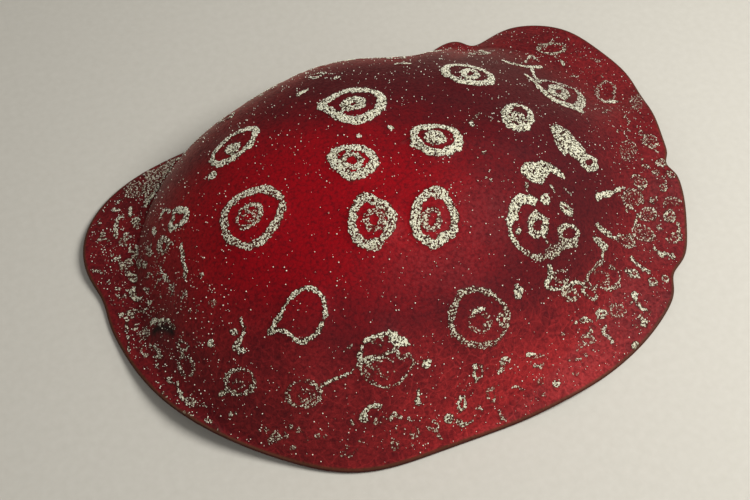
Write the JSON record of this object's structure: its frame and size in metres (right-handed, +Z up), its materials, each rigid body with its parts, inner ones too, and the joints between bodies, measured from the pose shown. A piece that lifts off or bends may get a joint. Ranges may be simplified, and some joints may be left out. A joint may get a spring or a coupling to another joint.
{
  "type": "sidegill sea slug model (Pleurobranchus weberi)",
  "caption": "Life-size still model of a large resting sidegill sea slug: domed dark red mantle with pale rings, foot, head, oral veil, rolled rhinophores and gill plume.",
  "frame": {"origin": "centre of the part's bounding box, on the floor that the foot's sole rests on", "axes": "+X to the head, +Y to the animal's left, +Z up"},
  "size_m": [0.2047, 0.1502, 0.0458],
  "materials": {
    "mantle_skin": "velvety, finely granular",
    "underside_skin": "soft satin",
    "gill_skin": "moist satin",
    "eye_black": "gloss"
  },
  "bodies": {
    "root": {"mantle_back": "mantle_skin", "mantle_skirt_front": "mantle_skin", "mantle_skirt_left": "mantle_skin", "mantle_skirt_rear": "mantle_skin", "mantle_skirt_right": "mantle_skin", "body": "underside_skin", "foot": "underside_skin", "head": "underside_skin", "mouth": "underside_skin", "oral_veil": "underside_skin", "rhinophore_left": "underside_skin", "rhinophore_right": "underside_skin", "eye_left": "eye_black", "eye_right": "eye_black", "gill": "gill_skin", "genital_papilla": "underside_skin", "anal_papilla": "underside_skin"}
  },
  "joints": []
}
